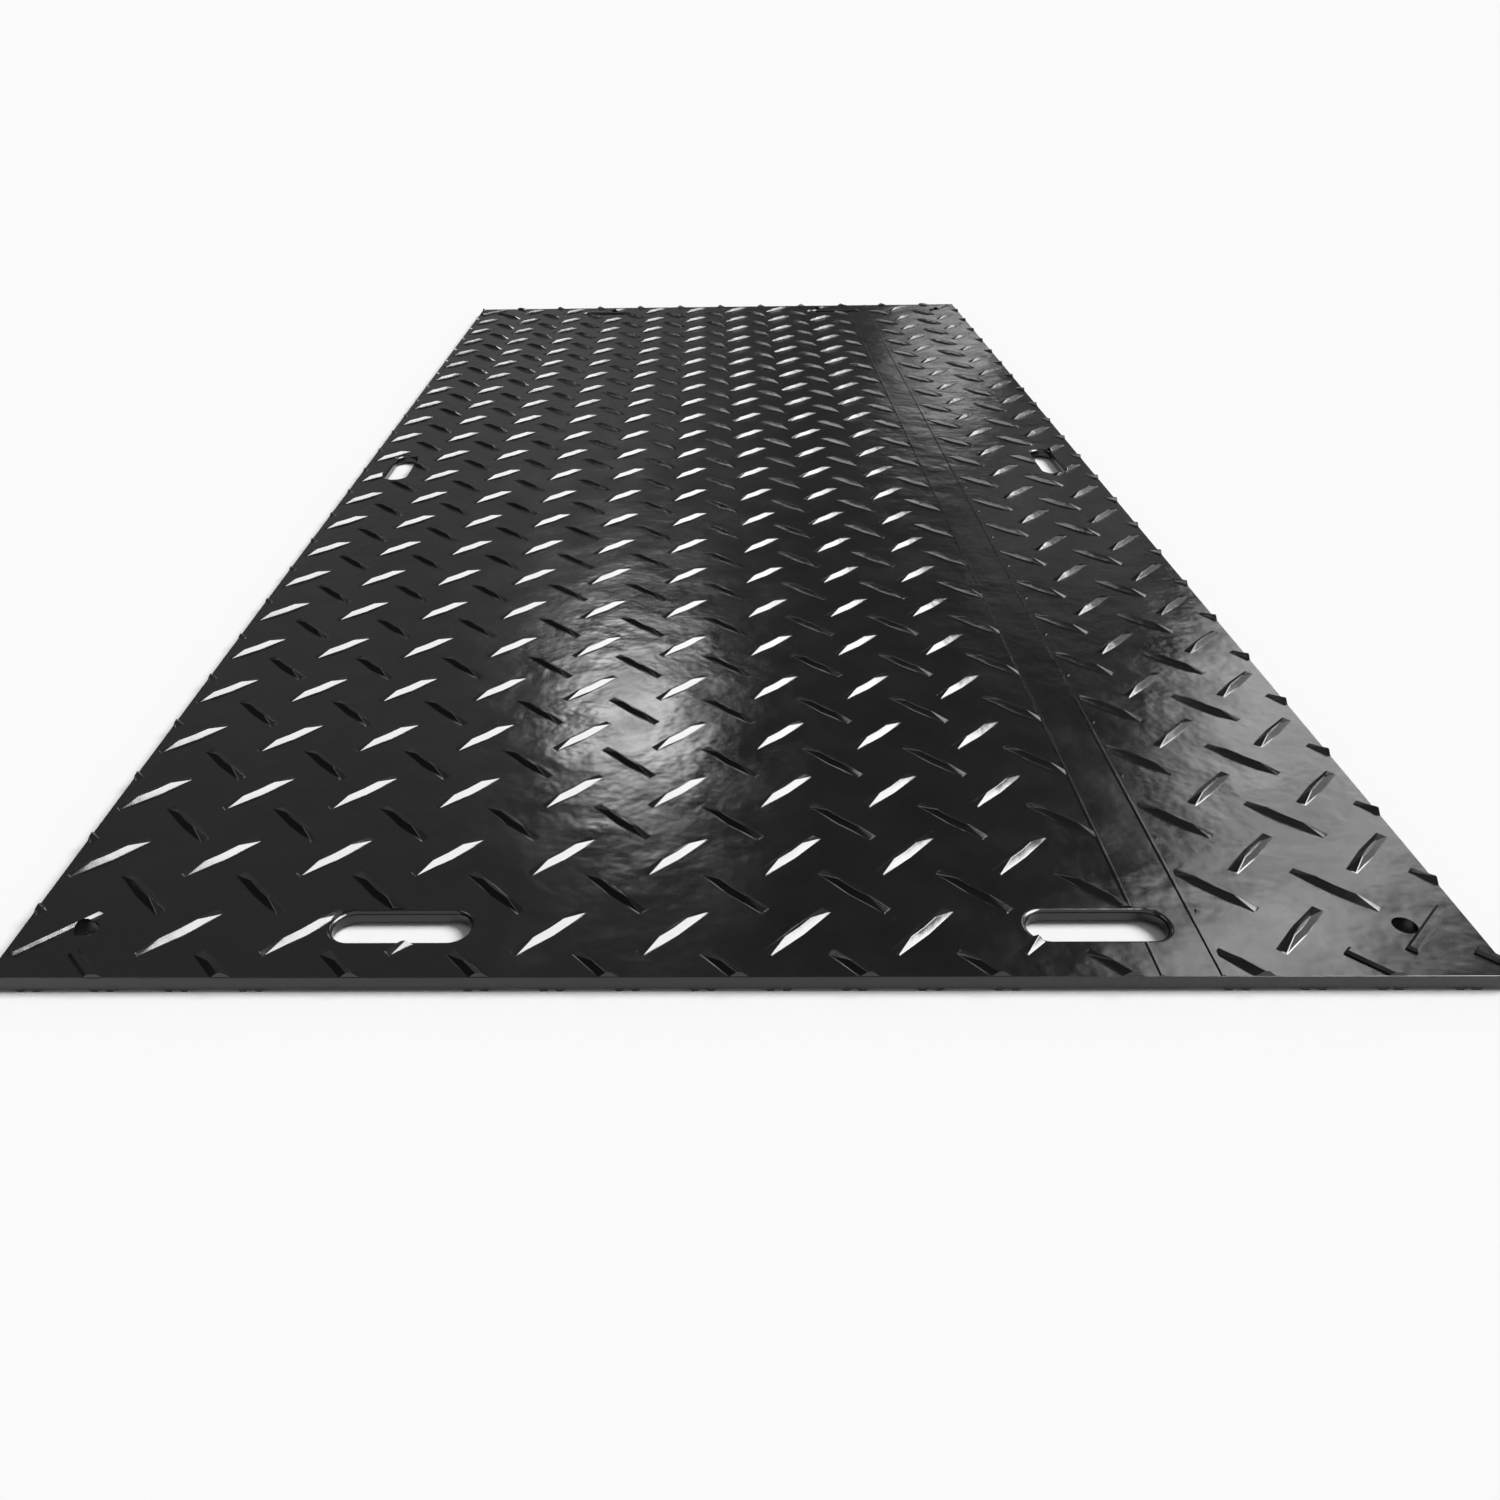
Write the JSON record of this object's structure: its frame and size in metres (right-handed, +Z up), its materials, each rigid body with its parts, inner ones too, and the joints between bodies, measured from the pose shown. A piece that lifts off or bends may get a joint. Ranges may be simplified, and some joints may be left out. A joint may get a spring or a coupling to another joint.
{
  "type": "ground protection mat",
  "caption": "Flat rectangular moulded ground protection mat with a bold diagonal lug tread, hand slots at its ends and sides, corner fixing holes and a plain lengthwise strip.",
  "frame": {"origin": "middle of the footprint, on the level floor that the mat lies on", "axes": "+X across the mat, +Y along its length away from the picture's camera, +Z up out of the bold tread"},
  "size_m": [1.22, 2.44, 0.0207],
  "materials": {
    "mat_plastic": "semi-gloss moulded black"
  },
  "bodies": {
    "root": {"ground_mat": "mat_plastic"}
  },
  "joints": []
}
